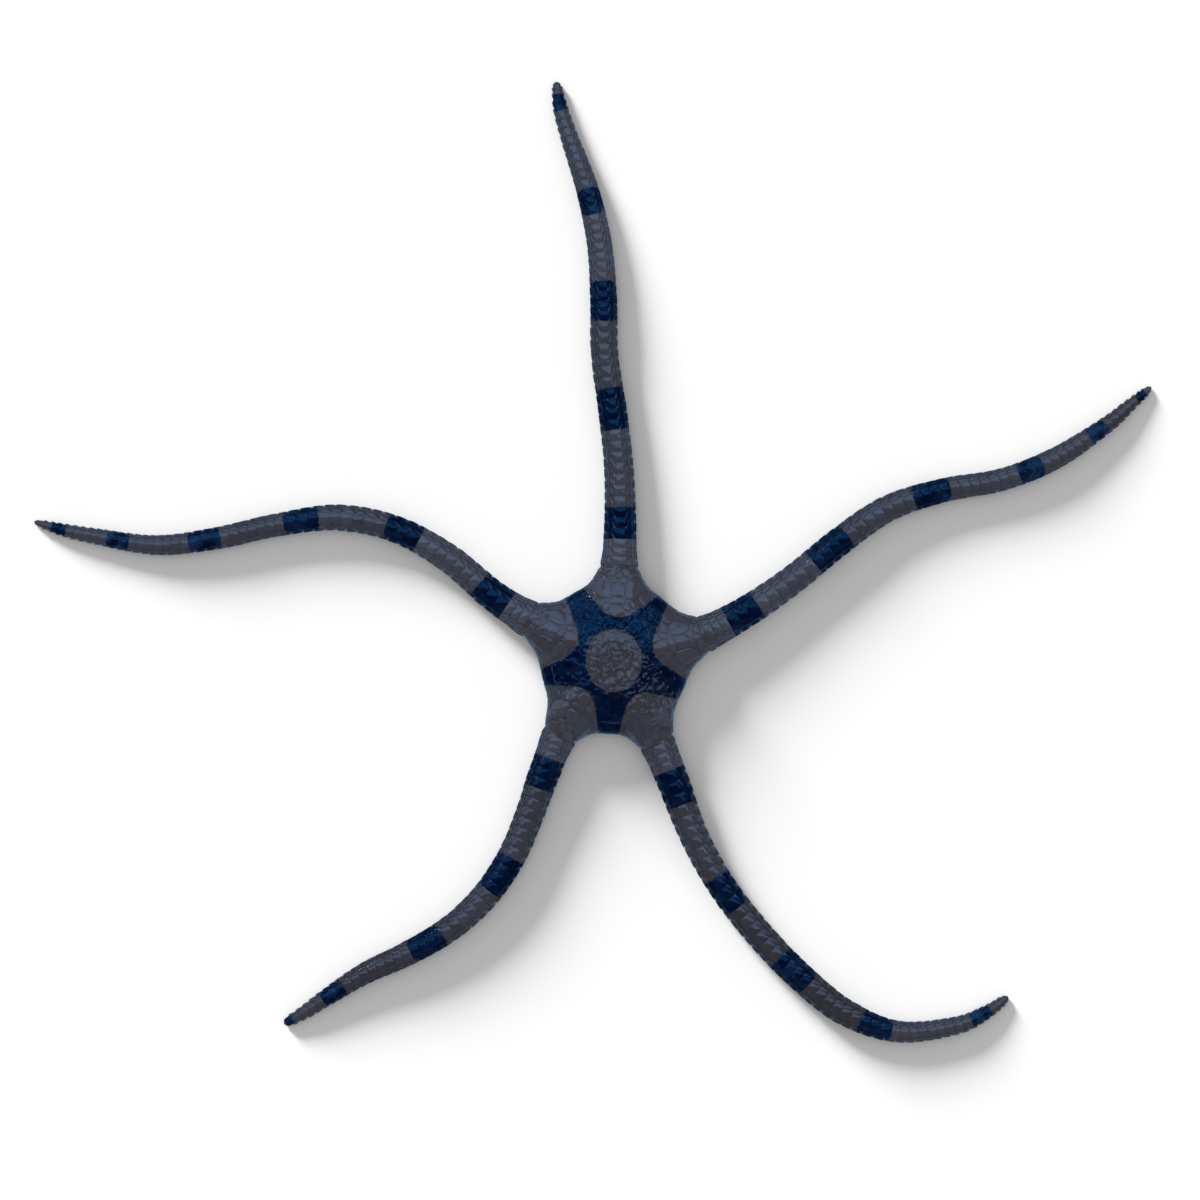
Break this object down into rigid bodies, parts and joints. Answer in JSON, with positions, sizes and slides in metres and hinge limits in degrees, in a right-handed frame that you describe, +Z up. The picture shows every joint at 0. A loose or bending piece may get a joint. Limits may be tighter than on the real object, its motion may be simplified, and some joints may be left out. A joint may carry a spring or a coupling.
{
  "type": "brittle star",
  "caption": "Banded brittle star lying flat: low plated disc, jaws round the mouth beneath, and long curving arms of ringed plates with short spines.",
  "frame": {"origin": "centre of the bounding box in plan, on the floor that the animal lies on", "axes": "+Z up from the floor to the upper side, +Y towards the far end of the arm that points straight away, +X to the right seen from above"},
  "size_m": [0.2142, 0.1842, 0.0075],
  "materials": {
    "disc": "wet, glossy plates, pale grey with a navy star",
    "arms": "wet, glossy plates, grey brown with navy bands",
    "jaws": "smooth, pale and slightly glossy"
  },
  "bodies": {
    "root": {"disc": "disc", "jaw_1": "jaws", "jaw_2": "jaws", "jaw_3": "jaws", "jaw_4": "jaws", "jaw_5": "jaws", "arm_1_base": "arms", "arm_1_inner": "arms", "arm_1_outer": "arms", "arm_1_tip": "arms", "arm_2_base": "arms", "arm_2_inner": "arms", "arm_2_outer": "arms", "arm_2_tip": "arms", "arm_3_base": "arms", "arm_3_inner": "arms", "arm_3_outer": "arms", "arm_3_tip": "arms", "arm_4_base": "arms", "arm_4_inner": "arms", "arm_4_outer": "arms", "arm_4_tip": "arms", "arm_5_base": "arms", "arm_5_inner": "arms", "arm_5_outer": "arms", "arm_5_tip": "arms"}
  },
  "joints": []
}
